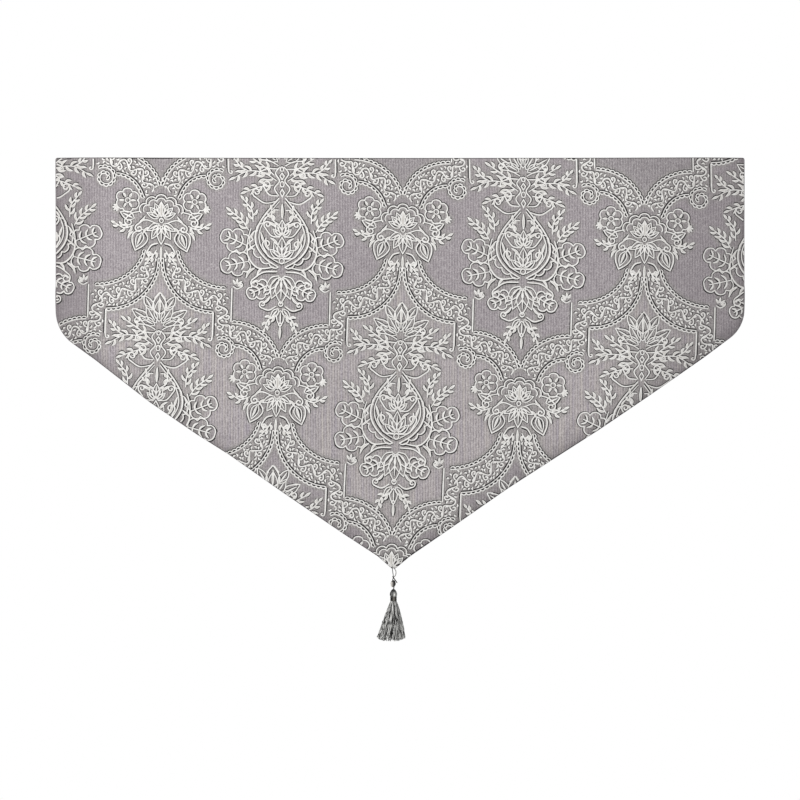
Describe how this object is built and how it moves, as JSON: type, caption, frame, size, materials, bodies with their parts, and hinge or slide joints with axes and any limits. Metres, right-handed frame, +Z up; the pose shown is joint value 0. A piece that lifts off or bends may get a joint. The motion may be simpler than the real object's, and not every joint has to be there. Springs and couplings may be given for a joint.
{
  "type": "ascot valance",
  "caption": "Pointed ascot valance of jacquard damask cloth with round shoulders, hung by its straight top edge, with a thread tassel on a knotted cord loop at its tip.",
  "frame": {"origin": "middle of the top edge, halfway through the cloth's thickness", "axes": "+X to the right of someone facing the valance, +Y into the wall behind it, +Z up; the face looks along -Y"},
  "size_m": [1.2716, 0.0357, 0.8932],
  "materials": {
    "damask_cloth": "jacquard damask weave, dusty lilac grey ground with a raised off-white figure, soft sheen",
    "tassel_thread": "lustrous warm grey rayon thread",
    "binding_thread": "tightly wound dark grey thread with a satin shine"
  },
  "bodies": {
    "root": {"panel": "damask_cloth", "hanging_cord": "tassel_thread", "tassel": "tassel_thread", "neck_binding": "binding_thread"}
  },
  "joints": []
}
